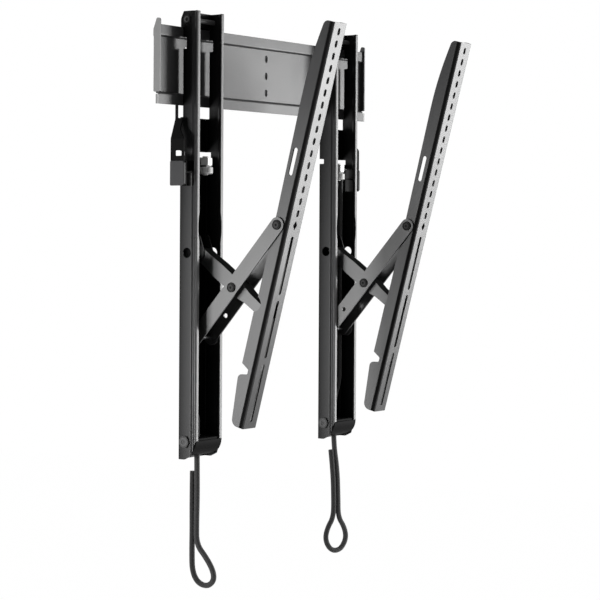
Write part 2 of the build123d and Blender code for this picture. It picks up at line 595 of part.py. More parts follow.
def make_hex_nut():
    hexagon = Pos(SX, SCREW_Y) * RegularPolygon(HEX_AF / 2, 6, major_radius=False)
    body = along_z(hexagon, SHELF_TOP, SHELF_TOP + HEX_T)
    round_off = along_z(Pos(SX, SCREW_Y) * Circle(HEX_AF / math.sqrt(3) + 0.3), SHELF_TOP, SHELF_TOP + HEX_T)
    body = body & chamfer(round_off.edges().filter_by(GeomType.CIRCLE), 1.4)
    body -= along_z(Pos(SX, SCREW_Y) * Circle(SCREW_R + 0.06), SHELF_TOP - 1, SHELF_TOP + HEX_T + 1)
    return one(body)


def make_screw():
    low = SHELF_TOP - SHELF_T - 0.4 - KNOB_T - 1.5
    body = along_z(Pos(SX, SCREW_Y) * Circle(SCREW_R), low, SHELF_TOP + HEX_T + 2.5)
    return one(chamfer(body.edges().filter_by(GeomType.CIRCLE), 0.9))


def make_knob():
    high = SHELF_TOP - SHELF_T - 0.4
    body = along_z(Pos(SX, SCREW_Y) * Circle(KNOB_R), high - KNOB_T, high)
    rims = body.edges().filter_by(GeomType.CIRCLE).sort_by(Axis.Z)
    body = fillet(rims[0], 4.0)
    body = chamfer(body.edges().filter_by(GeomType.CIRCLE).sort_by(Axis.Z)[-1], 0.8)
    groove = Pos(KNOB_R + 0.35, 0) * Circle(0.85)
    cuts = [Pos(SX, SCREW_Y) * Rot(0, 0, 360 * i / KNOB_RIBS) * groove for i in range(KNOB_RIBS)]
    for cut in cuts:
        body -= along_z(cut, high - KNOB_T - 1, high + 1)
    body -= along_z(Pos(SX, SCREW_Y) * Circle(SCREW_R), high - KNOB_T - 1, high + 1)
    return one(body)


def route(points, share=0.45):
    """Straight runs with a tangent arc at each turn, as one wire; prints the arcs' radii."""
    ends, radii = [], []
    for i in range(1, len(points) - 1):
        p, c, n = points[i - 1], points[i], points[i + 1]
        a, b = unit([p[k] - c[k] for k in range(3)]), unit([n[k] - c[k] for k in range(3)])
        half = math.acos(max(-1.0, min(1.0, sum(a[k] * b[k] for k in range(3))))) / 2
        if math.pi / 2 - half < 1e-4:
            continue
        cut = share * min(math.dist(p, c), math.dist(c, n))
        r = cut * math.tan(half)
        m = unit([a[k] + b[k] for k in range(3)])
        far = r / math.sin(half) - r
        first = tuple(c[k] + a[k] * cut for k in range(3))
        last = tuple(c[k] + b[k] * cut for k in range(3))
        ends.append((first, tuple(c[k] + m[k] * far for k in range(3)), last))
        radii.append(round(r, 1))
    edges, before = [], points[0]
    for first, middle, last in ends:
        edges.append(Line(before, first))
        edges.append(ThreePointArc(first, middle, last))
        before = last
    edges.append(Line(before, points[-1]))
    print("cord bend radii", radii)
    return Wire(edges)


LOOP_LEFT = [(0.5, -650), (1.4, -712), (0.2, -762), (0.6, -796), (21.0, -816), (36.0, -837), (37.5, -853)]
LOOP_LEFT += [(24.0, -864), (4.0, -860), (-8.0, -842), (-9.0, -811), (-8.4, -772), (-9.0, -722), (-8.4, -674)]
LOOP_RIGHT = [(0.5, -650), (1.4, -712), (0.2, -764), (0.6, -798), (14.0, -818), (18.5, -838), (9.0, -856)]
LOOP_RIGHT += [(-4.3, -861), (-17.5, -856), (-27.0, -838), (-22.5, -818), (-9.2, -798), (-8.4, -762)]
LOOP_RIGHT += [(-9.0, -716), (-8.4, -674)]
LOOP_TURN = {-1: 90.0, 1: 25.0}


def cord_route(side):
    """Points of a pull cord, side -1 left or 1 right; its loop hangs in an upright plane."""
    way = math.radians(LOOP_TURN[side])
    points = [(-CORD_X, CORD_IN_Y, -173.0), (-CORD_X, CORD_IN_Y, -215.0), (-CORD_X, CORD_IN_Y + 1, -265.0)]
    points += [(-CORD_X, -12.0, -335.0), (-CORD_X, -12.4, -420.0), (-CORD_X, -12.0, -500.0)]
    points += [(-CORD_X, -12.6, -550.0), (-RAIL_X, CORD_OUT_Y, -592.0)]
    points = [(-side * x, y, z) for x, y, z in points]
    for u, z in (LOOP_LEFT if side < 0 else LOOP_RIGHT):
        points.append((side * RAIL_X + u * math.cos(way), CORD_OUT_Y - u * math.sin(way), z))
    return points


def make_cord(side):
    points = cord_route(side)
    path = route(points)
    way = [points[1][k] - points[0][k] for k in range(3)]
    return one(sweep(Plane(points[0], z_dir=way) * Circle(CORD_R), path=path))


rail = make_rail()
latch = make_latch()
LEFT = {
    "rail": rail,
    "top_axle": make_axle(),
    "clevis": make_clevis(),
    "pivot_pin": headed_pin(*PIVOT, PIN_R, LINK_HALF_W + SIDE_GAP + CLEVIS_T, 6.0, 2.0),
    "short_link": make_link(),
    "long_arm": make_arm(),
    "cross_pin": headed_pin(*CROSS, PIN_R, ARM_HALF_W),
    "cross_bushes": make_cross_bushes(),
    "bracket_pin": headed_pin(*TOP_PIN, PIN_R, ARM_HALF_W),
    "run_pin": make_run_pin(),
    "run_glides": make_run_glides(),
    "low_pin": make_low_pin(),
    "low_glides": make_low_glides(),
    "screen_bracket": make_bracket(),
    "end_cap": make_cap(rail),
    "end_bolts": make_end_bolts(),
    "latch": latch,
    "latch_grip": make_grip(latch),
    "level_shelf": make_shelf(),
    "level_nut": make_hex_nut(),
    "level_screw": make_screw(),
    "level_knob": make_knob(),
}

print("run pin", RUN_PIN, "low pin", LOW_PIN, "arm", ARM_UP, ARM_DOWN, "link", LINK_UP, LINK_DOWN)
print("angles", ARM_ANGLE, LINK_ANGLE, "low pin on the bracket", LOW_PIN_Z)

export_step(make_plate(), "parts/wall_plate.step")
for name, piece in LEFT.items():
    export_step(piece, f"parts/left_{name}.step")
    other = [mirror(s, about=Plane.YZ).solids()[0] for s in piece.solids()]
    shape = other[0] if len(other) == 1 else Compound(children=other)
    export_step(shape, f"parts/right_{name}.step")

export_step(make_cord(-1), "parts/left_pull_cord.step")
export_step(make_cord(1), "parts/right_pull_cord.step")
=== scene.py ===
"""Dresses the tilting screen bracket: coats, plating, pull cords, studio light and the photo's camera."""

import logging
import math
from dataclasses import dataclass, replace
from enum import Enum

import bmesh
import bpy
from mathutils import Matrix, Vector


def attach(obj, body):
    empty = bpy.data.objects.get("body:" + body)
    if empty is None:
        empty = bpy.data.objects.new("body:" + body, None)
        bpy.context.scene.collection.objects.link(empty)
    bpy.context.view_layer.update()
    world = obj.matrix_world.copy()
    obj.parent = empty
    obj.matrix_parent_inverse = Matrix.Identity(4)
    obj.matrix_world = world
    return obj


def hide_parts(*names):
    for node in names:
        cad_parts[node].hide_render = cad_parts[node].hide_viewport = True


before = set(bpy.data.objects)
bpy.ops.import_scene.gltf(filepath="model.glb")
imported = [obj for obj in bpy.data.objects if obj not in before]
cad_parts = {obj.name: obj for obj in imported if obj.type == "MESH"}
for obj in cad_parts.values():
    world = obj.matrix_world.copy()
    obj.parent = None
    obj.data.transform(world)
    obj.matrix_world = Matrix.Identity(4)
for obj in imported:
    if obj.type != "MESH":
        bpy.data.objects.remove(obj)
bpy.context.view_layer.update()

LOG = logging.getLogger("screen_bracket")
MM = 0.001
TURN = 2.0 * math.pi
Colour = tuple[float, float, float]
Point = tuple[float, float, float]
Socket = bpy.types.NodeSocket
Tree = bpy.types.ShaderNodeTree
Feed = Socket | float | Colour

# Socket numbers of a Mix node: first input, second input and output, for each kind of data
MIX_SLOTS = {"FLOAT": (2, 3, 0), "RGBA": (6, 7, 2)}


class Side(Enum):
    """The two mirrored halves, by the sign of their X."""

    LEFT = -1
    RIGHT = 1

    @property
    def prefix(self) -> str:
        """The half's name as the nodes and bodies spell it."""
        return self.name.lower()


def grey(level: float) -> Colour:
    """An even grey of a level from 0 to 1."""
    return (level, level, level)


def node_group(name: str, inputs: dict[str, float | Point], outputs: tuple[str, ...]) -> Tree:
    """Starts a shader node group.

    Args:
        name: The group's name.
        inputs: Socket names with their defaults; a tuple makes a vector socket.
        outputs: Names of the float outputs.

    Returns:
        The group's tree, with its input and output nodes in place.
    """
    tree = bpy.data.node_groups.new(name, "ShaderNodeTree")
    for label, default in inputs.items():
        kind = "NodeSocketVector" if isinstance(default, tuple) else "NodeSocketFloat"
        socket = tree.interface.new_socket(label, in_out="INPUT", socket_type=kind)
        if kind == "NodeSocketFloat":
            socket.default_value = default
    for label in outputs:
        tree.interface.new_socket(label, in_out="OUTPUT", socket_type="NodeSocketFloat")
    tree.nodes.new("NodeGroupInput").name = "in"
    tree.nodes.new("NodeGroupOutput").name = "out"
    return tree


def place_group(tree: Tree, group: Tree, vector: Socket, **values: float) -> bpy.types.Node:
    """Places a node group in a material.

    Args:
        tree: The material's tree.
        group: The group to place.
        vector: The coordinates that it reads.
        values: Its other inputs, by their names.

    Returns:
        The group's node.
    """
    node = tree.nodes.new("ShaderNodeGroup")
    node.node_tree = group
    tree.links.new(vector, node.inputs["Vector"])
    for label, value in values.items():
        node.inputs[label].default_value = value
    return node


def math_node(tree: Tree, operation: str, *values: Socket | float) -> Socket:
    """Adds a Math node.

    Args:
        tree: The node tree to add it to.
        operation: Blender's name of the operation.
        values: Sockets to link or numbers to set, in order.

    Returns:
        The node's output socket.
    """
    node = tree.nodes.new("ShaderNodeMath")
    node.operation = operation
    for slot, value in zip(node.inputs, values):
        if isinstance(value, (int, float)):
            slot.default_value = value
        else:
            tree.links.new(value, slot)
    return node.outputs[0]


def mix_node(tree: Tree, kind: str, share: Socket, first: Feed, second: Feed) -> Socket:
    """Mixes two values or two colours.

    Args:
        tree: The node tree to add it to.
        kind: FLOAT for values, RGBA for colours.
        share: Share of the second one.
        first: A socket, a number or a colour.
        second: Another of the same kind.

    Returns:
        The mixture's socket.
    """
    node = tree.nodes.new("ShaderNodeMix")
    node.data_type = kind
    tree.links.new(share, node.inputs[0])
    first_slot, second_slot, result = MIX_SLOTS[kind]
    for slot, value in ((first_slot, first), (second_slot, second)):
        if isinstance(value, Socket):
            tree.links.new(value, node.inputs[slot])
        else:
            node.inputs[slot].default_value = (*value, 1.0) if kind == "RGBA" else value
    return node.outputs[result]


def clamp_node(tree: Tree, value: Socket) -> Socket:
    """Holds a value between 0 and 1.

    Args:
        tree: The node tree to add it to.
        value: The value's socket.

    Returns:
        The held value's socket.
    """
    node = tree.nodes.new("ShaderNodeClamp")
    tree.links.new(value, node.inputs["Value"])
    return node.outputs[0]


def axes_of(tree: Tree, vector: Socket) -> list[Socket]:
    """Splits a vector.

    Args:
        tree: The node tree to add it to.
        vector: The vector's socket.

    Returns:
        The sockets of X, Y and Z.
    """
    node = tree.nodes.new("ShaderNodeSeparateXYZ")
    tree.links.new(vector, node.inputs[0])
    return list(node.outputs)


def coordinates(tree: Tree, kind: str) -> Socket:
    """The coordinates of a kind, Object or UV."""
    return tree.nodes.new("ShaderNodeTexCoord").outputs[kind]


def new_material(name: str) -> tuple[bpy.types.Material, Tree, bpy.types.Node]:
    """Makes a material with a Principled shader.

    Args:
        name: The material's name.

    Returns:
        The material, its tree and the Principled node.
    """
    material = bpy.data.materials.new(name)
    material.use_nodes = True
    tree = material.node_tree
    return material, tree, tree.nodes["Principled BSDF"]


class SurfaceGroups:
    """The shader node groups that several finishes share, each built once."""

    FINE_DETAIL = 2.0
    BROAD_SCALE = 9.0
    BROAD_DETAIL = 3.0
    STREAK_STRETCH = (60.0, 60.0, 9.0)
    STREAK_SCALE = 4.0
    STREAK_DETAIL = 5.0
    STREAK_START = 0.78
    STREAK_SPREAD = 0.4
    STREAK_SLOPE = 6.0

    def __init__(self) -> None:
        """Builds the groups."""
        self.coat_grain = self._coat_grain()
        self.rub_wear = self._rub_wear()
        self.braid = self._braid()

    @staticmethod
    def _noise(tree: Tree, vector: Socket, scale: Socket | float, detail: float) -> Socket:
        """Adds a noise texture and gives its value.

        Args:
            tree: The node tree.
            vector: The coordinate socket.
            scale: A socket or a number.
            detail: Octaves of detail.

        Returns:
            The noise value socket.
        """
        noise = tree.nodes.new("ShaderNodeTexNoise")
        noise.inputs["Detail"].default_value = detail
        tree.links.new(vector, noise.inputs["Vector"])
        if isinstance(scale, (int, float)):
            noise.inputs["Scale"].default_value = scale
        else:
            tree.links.new(scale, noise.inputs["Scale"])
        return noise.outputs[0]

    def _coat_grain(self) -> Tree:
        """Builds the orange-peel grain of powder coat.

        Returns:
            A group with a fine height and a broad, soft change of tone.
        """
        tree = node_group("CoatGrain", {"Vector": (0.0, 0.0, 0.0), "Scale": 900.0}, ("Height", "Tone"))
        into, out = tree.nodes["in"], tree.nodes["out"]
        fine = self._noise(tree, into.outputs["Vector"], into.outputs["Scale"], self.FINE_DETAIL)
        broad = self._noise(tree, into.outputs["Vector"], self.BROAD_SCALE, self.BROAD_DETAIL)
        tree.links.new(fine, out.inputs["Height"])
        tree.links.new(broad, out.inputs["Tone"])
        return tree

    def _rub_wear(self) -> Tree:
        """Builds sparse rub marks where pieces slide.

        Returns:
            A group with a mask of short streaks.
        """
        tree = node_group("RubWear", {"Vector": (0.0, 0.0, 0.0), "Cover": 0.3}, ("Mask",))
        into, out = tree.nodes["in"], tree.nodes["out"]
        stretch = tree.nodes.new("ShaderNodeMapping")
        stretch.inputs["Scale"].default_value = self.STREAK_STRETCH
        tree.links.new(into.outputs["Vector"], stretch.inputs["Vector"])
        streak = self._noise(tree, stretch.outputs[0], self.STREAK_SCALE, self.STREAK_DETAIL)
        lowered = math_node(tree, "MULTIPLY", into.outputs["Cover"], self.STREAK_SPREAD)
        start = math_node(tree, "SUBTRACT", self.STREAK_START, lowered)
        ramp = math_node(tree, "MULTIPLY", math_node(tree, "SUBTRACT", streak, start), self.STREAK_SLOPE)
        tree.links.new(clamp_node(tree, ramp), out.inputs["Mask"])
        return tree

    @staticmethod
    def _braid() -> Tree:
        """Builds crossing helical strands in a cord's own UV.

        Returns:
            A group with a height and a tone.
        """
        inputs = {"Vector": (0.0, 0.0, 0.0), "Picks": 200.0, "Strands": 6.0}
        tree = node_group("Braid", inputs, ("Height", "Tone"))
        into, out = tree.nodes["in"], tree.nodes["out"]
        angles = []
        for axis, count in zip(axes_of(tree, into.outputs["Vector"]), ("Picks", "Strands")):
            turns = math_node(tree, "MULTIPLY", axis, into.outputs[count])
            angles.append(math_node(tree, "MULTIPLY", turns, TURN))
        right = math_node(tree, "SINE", math_node(tree, "ADD", *angles))
        left = math_node(tree, "SINE", math_node(tree, "SUBTRACT", *angles))
        top = math_node(tree, "MAXIMUM", right, left)
        for label, wave in (("Height", top), ("Tone", right)):
            tree.links.new(math_node(tree, "MULTIPLY_ADD", wave, 0.5, 0.5), out.inputs[label])
        return tree


@dataclass(frozen=True)
class Finish:
    """One surface finish.

    Attributes:
        name: Material name.
        colour: Base colour, linear.
        roughness: Mean roughness.
        metallic: Principled metallic.
        specular: Principled specular level.
        grain: Grain size, in bumps per metre.
        depth: Bump strength.
        vary: How far the tone drifts, as a share of the colour.
        worn: Colour where rubbing has worn the coat.
        wear: How much of the surface is rubbed.
        lit_axis: Axis, 0 for X to 2 for Z, along which light is painted.
        lit_past: Distance from the origin past which light is painted, in metres; 0 for none.
        lit: Painted light colour there.
    """

    name: str
    colour: Colour
    roughness: float
    metallic: float = 0.0
    specular: float = 0.5
    grain: float = 900.0
    depth: float = 0.12
    vary: float = 0.18
    worn: Colour = grey(0.2)
    wear: float = 0.0
    lit_axis: int = 0
    lit_past: float = 0.0
    lit: Colour = grey(0.3)

    ROUGH_SPREAD = 0.12
    RELIEF_HEIGHT = 0.0003
    BORDER_SLOPE = 1200.0
    BORDER_BREAK = 0.4

    def tinted(self, share: float) -> Colour:
        """The colour times a share."""
        return tuple(part * share for part in self.colour)

    def shade(self, tree: Tree, tone: Socket) -> Socket:
        """Mixes the light and dark of the colour by a tone.

        Args:
            tree: The material's tree.
            tone: Socket that says where between dark and light.

        Returns:
            The colour socket.
        """
        return mix_node(tree, "RGBA", tone, self.tinted(1.0 - self.vary), self.tinted(1.0 + self.vary))

    def start(self) -> tuple[bpy.types.Material, Tree, bpy.types.Node]:
        """Makes the material with its Principled shader set.

        Returns:
            The material, its tree and the Principled node.
        """
        material, tree, shader = new_material(self.name)
        shader.inputs["Metallic"].default_value = self.metallic
        shader.inputs["Specular IOR Level"].default_value = self.specular
        return material, tree, shader

    def roughen(self, tree: Tree, shader: bpy.types.Node, tone: Socket) -> None:
        """Lets the roughness drift about its mean.

        Args:
            tree: The material's tree.
            shader: The Principled node.
            tone: Socket that says where in the drift.
        """
        least = self.roughness - self.ROUGH_SPREAD / 2.0
        rough = math_node(tree, "MULTIPLY_ADD", tone, self.ROUGH_SPREAD, least)
        tree.links.new(rough, shader.inputs["Roughness"])

    def relief(self, tree: Tree, shader: bpy.types.Node, height: Socket) -> None:
        """Feeds a height to the shader's normal.

        Args:
            tree: The material's tree.
            shader: The Principled node.
            height: The height socket.
        """
        bump = tree.nodes.new("ShaderNodeBump")
        bump.inputs["Strength"].default_value = self.depth
        bump.inputs["Distance"].default_value = self.RELIEF_HEIGHT
        tree.links.new(height, bump.inputs["Height"])
        tree.links.new(bump.outputs[0], shader.inputs["Normal"])

    def paint_light_past(self, tree: Tree, place: Socket, tone: Socket, colour: Socket) -> Socket:
        """Paints light: lightens the colour past a distance along one axis.

        Args:
            tree: The material's tree.
            place: The coordinate socket.
            tone: Socket that breaks the border up.
            colour: The colour socket to lighten.

        Returns:
            The new colour socket.
        """
        reach = math_node(tree, "ABSOLUTE", axes_of(tree, place)[self.lit_axis])
        past = math_node(tree, "SUBTRACT", reach, self.lit_past)
        broken = math_node(tree, "MULTIPLY", tone, self.BORDER_BREAK)
        border = math_node(tree, "MULTIPLY_ADD", past, self.BORDER_SLOPE, broken)
        return mix_node(tree, "RGBA", clamp_node(tree, border), colour, self.lit)

    def material(self, groups: SurfaceGroups) -> bpy.types.Material:
        """Builds the finish on object coordinates.

        Args:
            groups: The shared node groups.

        Returns:
            The material.
        """
        material, tree, shader = self.start()
        place = coordinates(tree, "Object")
        grain = place_group(tree, groups.coat_grain, place, Scale=self.grain)
        colour = self.shade(tree, grain.outputs["Tone"])
        if self.wear > 0.0:
            rub = place_group(tree, groups.rub_wear, place, Cover=self.wear)
            colour = mix_node(tree, "RGBA", rub.outputs["Mask"], colour, self.worn)
        # Painted light: the colour is lightened past a distance along one axis
        if self.lit_past > 0.0:
            colour = self.paint_light_past(tree, place, grain.outputs["Tone"], colour)
        tree.links.new(colour, shader.inputs["Base Color"])
        self.roughen(tree, shader, grain.outputs["Tone"])
        self.relief(tree, shader, grain.outputs["Height"])
        return material


@dataclass(frozen=True)
class RingShadeFinish(Finish):
    """A pin or bolt head's finish with painted shade: dark rings round its axis stand in for the shade in the
    head's hollows and round its rim.

    Attributes:
        centre: The axis, as Y and Z in metres.
        rings: Radii in metres where a ring of painted shade lies, with half its width.
        dark: Share of the colour left in a ring of painted shade.
    """

    centre: tuple[float, float] = (0.0, 0.0)
    rings: tuple[tuple[float, float], ...] = ((0.0, 0.0021), (0.0059, 0.0008), (0.0080, 0.0006))
    dark: float = 0.25

    def shade(self, tree: Tree, tone: Socket) -> Socket:
        """Paints shade into the drifting colour in the rings.

        Args:
            tree: The material's tree.
            tone: Socket that says where between dark and light.

        Returns:
            The colour socket.
        """
        colour = super().shade(tree, tone)
        _, y, z = axes_of(tree, coordinates(tree, "Object"))
        out = [math_node(tree, "SUBTRACT", axis, middle) for axis, middle in zip((y, z), self.centre)]
        squares = [math_node(tree, "MULTIPLY", part, part) for part in out]
        radius = math_node(tree, "SQRT", math_node(tree, "ADD", *squares))
        mask: Socket | float = 0.0
        for middle, half in self.rings:
            off = math_node(tree, "ABSOLUTE", math_node(tree, "SUBTRACT", radius, middle))
            mask = math_node(tree, "MAXIMUM", mask, math_node(tree, "LESS_THAN", off, half))
        # Painted shade: the colour is darkened inside the rings
        return mix_node(tree, "RGBA", mask, colour, self.tinted(self.dark))


@dataclass(frozen=True)
class ShadeBandFinish(Finish):
    """A sheet's coat with painted shade: a band is painted darker, with other roughness and its gloss taken
    away, where shade falls along a fold, on an unlit web or towards the wall.

    Attributes:
        across: Unit direction across the band.
        band: Start and end of the band of painted shade along that direction, either way from the origin, in
            metres.
        painted_shade: Painted shade colour in the band.
        painted_shade_roughness: Roughness in the band of painted shade.
        matt: Share of the coat's gloss that the painted shade takes away in the band.
        soft: Width of the band's edge, in metres.
    """

    across: Point = (1.0, 0.0, 0.0)
    band: tuple[float, float] = (0.0, 0.0)
    painted_shade: Colour = grey(0.002)
    painted_shade_roughness: float = 0.9
    matt: float = 0.55
    soft: float = 0.0007

    def material(self, groups: SurfaceGroups) -> bpy.types.Material:
        """Builds the finish and paints shade in the band.

        A metal as dark as the painted shade colour reflects next to nothing, so Metallic takes the gloss
        away.

        Args:
            groups: The shared node groups.

        Returns:
            The material.
        """
        material = super().material(groups)
        tree = material.node_tree
        shader = tree.nodes["Principled BSDF"]
        along = tree.nodes.new("ShaderNodeVectorMath")
        along.operation = "DOT_PRODUCT"
        along.inputs[1].default_value = self.across
        tree.links.new(coordinates(tree, "Object"), along.inputs[0])
        start, end = self.band
        reach = math_node(tree, "ABSOLUTE", along.outputs["Value"])
        off = math_node(tree, "ABSOLUTE", math_node(tree, "SUBTRACT", reach, (start + end) / 2.0))
        inside = math_node(tree, "SUBTRACT", (end - start) / 2.0, off)
        mask = clamp_node(tree, math_node(tree, "DIVIDE", inside, self.soft))
        colour = shader.inputs["Base Color"].links[0].from_socket
        rough = shader.inputs["Roughness"].links[0].from_socket
        # Painted shade: the band gets the shade colour and roughness, and loses its gloss
        tree.links.new(mix_node(tree, "RGBA", mask, colour, self.painted_shade), shader.inputs["Base Color"])
        tree.links.new(mix_node(tree, "FLOAT", mask, rough, self.painted_shade_roughness), shader.inputs["Roughness"])
        tree.links.new(math_node(tree, "MULTIPLY", mask, self.matt), shader.inputs["Metallic"])
        return material


@dataclass(frozen=True)
class BraidedFinish(Finish):
    """A braided cord's finish, on the cord's own UV.

    Attributes:
        picks: Strand crossings along the cord.
        strands: Strands each way round.
        tail_shade_from: Share of the cord's length past which shade is painted on the tail.
        painted_tail_shade: Painted shade colour of the tail there.
    """

    picks: float = 220.0
    strands: float = 4.0
    tail_shade_from: float = 0.72
    painted_tail_shade: Colour = grey(0.002)

    ROUGH_SPREAD = 0.1
    RELIEF_HEIGHT = 0.0006
    SHEEN = 0.3
    SHEEN_ROUGHNESS = 0.5
    TAIL_SLOPE = 20.0

    def material(self, groups: SurfaceGroups) -> bpy.types.Material:
        """Builds the braid.

        Args:
            groups: The shared node groups.

        Returns:
            The material.
        """
        material, tree, shader = self.start()
        shader.inputs["Sheen Weight"].default_value = self.SHEEN
        shader.inputs["Sheen Roughness"].default_value = self.SHEEN_ROUGHNESS
        place = coordinates(tree, "UV")
        braid = place_group(tree, groups.braid, place, Picks=self.picks, Strands=self.strands)
        # Painted shade: the cord's tail is coloured darker past a share of its length
        past = math_node(tree, "SUBTRACT", axes_of(tree, place)[0], self.tail_shade_from)
        tail = clamp_node(tree, math_node(tree, "MULTIPLY", past, self.TAIL_SLOPE))
        colour = mix_node(tree, "RGBA", tail, self.shade(tree, braid.outputs["Tone"]), self.painted_tail_shade)
        tree.links.new(colour, shader.inputs["Base Color"])
        self.roughen(tree, shader, braid.outputs["Height"])
        self.relief(tree, shader, braid.outputs["Height"])
        return material


# Places that the finishes and their bands of painted shade follow, in metres; an axis is given by its Y and Z
HALF_X = 0.2
CROSS_AXIS = (-0.0975, -0.365)
BRACKET_AXIS = (-0.188, -0.262)
AXLE_AXIS = (-0.0195, 0.0775)
BOLT_AXIS = (-0.0185, -0.6216)
LINK_INSIDE = 0.0104
LINK_SHADE_BAND = (HALF_X - LINK_INSIDE, HALF_X + LINK_INSIDE)
RAIL_SHADE_BAND = (-0.05, 0.032)
LEAN = math.radians(15.0)
BRACKET_FRONT = (0.0, -math.cos(LEAN), -math.sin(LEAN))
BRACKET_REACH = Vector(BRACKET_FRONT).dot(Vector((0.0, *BRACKET_AXIS)))
FOLD_START = 0.0120
FOLD_END = 0.0194
FOLD_SHADE_BAND = (BRACKET_REACH + FOLD_START, BRACKET_REACH + FOLD_END)

# Painted light: the plate's ends past 306.8 mm, its ears, are coloured lighter as if lit
PLATE_COAT = Finish("plate_satin_black", (0.035, 0.035, 0.036), 0.36, specular=0.38, wear=0.1,
                    lit_past=0.3068, lit=grey(0.22))
# Painted light and shade on the rails: the front lips past 39.8 mm are coloured lighter as a painted
# highlight, and the coat towards the wall is painted darker and without gloss as painted shade
RAIL_COAT = ShadeBandFinish("rail_powder_black", (0.014, 0.014, 0.0145), 0.3, specular=0.225, wear=0.05,
                       worn=grey(0.04), lit_axis=1, lit_past=0.0398, lit=grey(0.2),
                       across=(0.0, 1.0, 0.0), band=RAIL_SHADE_BAND, soft=0.028, painted_shade=grey(0.004),
                       painted_shade_roughness=0.32, matt=0.85)
LATCH_COAT = Finish("latch_matt_black", grey(0.003), 0.6, specular=0.05)
ARM_COAT = Finish("arm_powder_black", (0.022, 0.022, 0.0223), 0.38, specular=0.78, wear=0.12, worn=grey(0.1))
# Painted shade: the short link's web between its cheeks is painted black and without gloss, as an unlit face
LINK_COAT = ShadeBandFinish("link_powder_black", ARM_COAT.colour, ARM_COAT.roughness, specular=ARM_COAT.specular,
                       wear=ARM_COAT.wear, worn=ARM_COAT.worn, band=LINK_SHADE_BAND, matt=1.0)
# Painted shade: a band 12 to 19.4 mm behind the bracket's front face, along its folds, is painted dark and
# without gloss
BRACKET_COAT = ShadeBandFinish("bracket_powder_black", (0.022, 0.022, 0.0225), 0.34, depth=0.04, wear=0.06,
                          worn=grey(0.08), across=BRACKET_FRONT, band=FOLD_SHADE_BAND)
# Painted shade: the pin, axle and bolt heads are darkened in rings round their axes
CROSS_PIN_COAT = RingShadeFinish("cross_pin_coat", grey(0.045), 0.5, specular=0.08, grain=500.0, depth=0.06,
                              centre=CROSS_AXIS)
BRACKET_PIN_COAT = replace(CROSS_PIN_COAT, name="bracket_pin_coat", centre=BRACKET_AXIS)
AXLE_BLACK = RingShadeFinish("axle_black_oxide", grey(0.06), 0.5, specular=0.15, grain=500.0, depth=0.06,
                          centre=AXLE_AXIS, rings=((0.0, 0.0031), (0.0064, 0.0012)), dark=0.1)
BOLT_BLACK = RingShadeFinish("bolt_black_zinc", (0.05, 0.05, 0.051), 0.45, specular=0.3, grain=500.0, depth=0.06,
                          centre=BOLT_AXIS, rings=((0.0, 0.0026), (0.0090, 0.0020)), dark=0.15)
BLACK_ZINC = Finish("black_zinc", (0.03, 0.03, 0.032), 0.36, metallic=0.4, grain=500.0, depth=0.06)
BRIGHT_ZINC = Finish("bright_zinc", (0.42, 0.42, 0.415), 0.55, metallic=1.0, grain=700.0, depth=0.08,
                     vary=0.1)
NYLON = Finish("glide_nylon", grey(0.03), 0.55, grain=600.0)
CAP_PLASTIC = Finish("cap_moulding", (0.005, 0.005, 0.0052), 0.6, specular=0.05, grain=1200.0, depth=0.1)
# Painted shade and light: the grip's inner part is painted near black as shade, and its outer part past 263.5
# mm lighter as its lit face
GRIP_PLASTIC = Finish("grip_moulding", grey(0.003), 0.5, specular=0.25, grain=1400.0, depth=0.2,
                      lit_past=0.2635, lit=(0.026, 0.026, 0.0275))
CORD_BRAID = BraidedFinish("pull_cord_braid", (0.015, 0.015, 0.0153), 0.75, depth=0.5, vary=0.35)


class Dresser:
    """Gives the CAD nodes their finishes."""

    HALF_FINISHES: dict[str, Finish] = {
        "rail": RAIL_COAT,
        "clevis": RAIL_COAT,
        "level_shelf": RAIL_COAT,
        "latch": LATCH_COAT,
        "short_link": LINK_COAT,
        "long_arm": ARM_COAT,
        "screen_bracket": BRACKET_COAT,
        "top_axle": AXLE_BLACK,
        "pivot_pin": BLACK_ZINC,
        "cross_pin": CROSS_PIN_COAT,
        "bracket_pin": BRACKET_PIN_COAT,
        "run_pin": BLACK_ZINC,
        "low_pin": BLACK_ZINC,
        "end_bolts": BOLT_BLACK,
        "cross_bushes": NYLON,
        "run_glides": NYLON,
        "low_glides": ARM_COAT,
        "end_cap": CAP_PLASTIC,
        "latch_grip": GRIP_PLASTIC,
        "level_nut": BRIGHT_ZINC,
        "level_screw": BRIGHT_ZINC,
        "level_knob": BRIGHT_ZINC,
    }

    def __init__(self, groups: SurfaceGroups) -> None:
        """Keeps the shared groups.

        Args:
            groups: The shared node groups.
        """
        self.groups = groups
        self.made: dict[str, bpy.types.Material] = {}

    def material(self, finish: Finish) -> bpy.types.Material:
        """Makes a finish's material, once.

        Args:
            finish: The finish.

        Returns:
            Its material.
        """
        if finish.name not in self.made:
            self.made[finish.name] = finish.material(self.groups)
        return self.made[finish.name]

    def dress(self, node: str, finish: Finish) -> None:
        """Puts a finish on a CAD node.

        Args:
            node: The node's name.
            finish: Its finish.
        """
        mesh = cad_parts[node].data
        mesh.materials.clear()
        mesh.materials.append(self.material(finish))

    def dress_all(self) -> None:
        """Dresses the wall plate and both halves."""
        self.dress("wall_plate", PLATE_COAT)
        for side in Side:
            for piece, finish in self.HALF_FINISHES.items():
                self.dress(f"{side.prefix}_{piece}", finish)
            LOG.info("dressed the %s half", side.prefix)


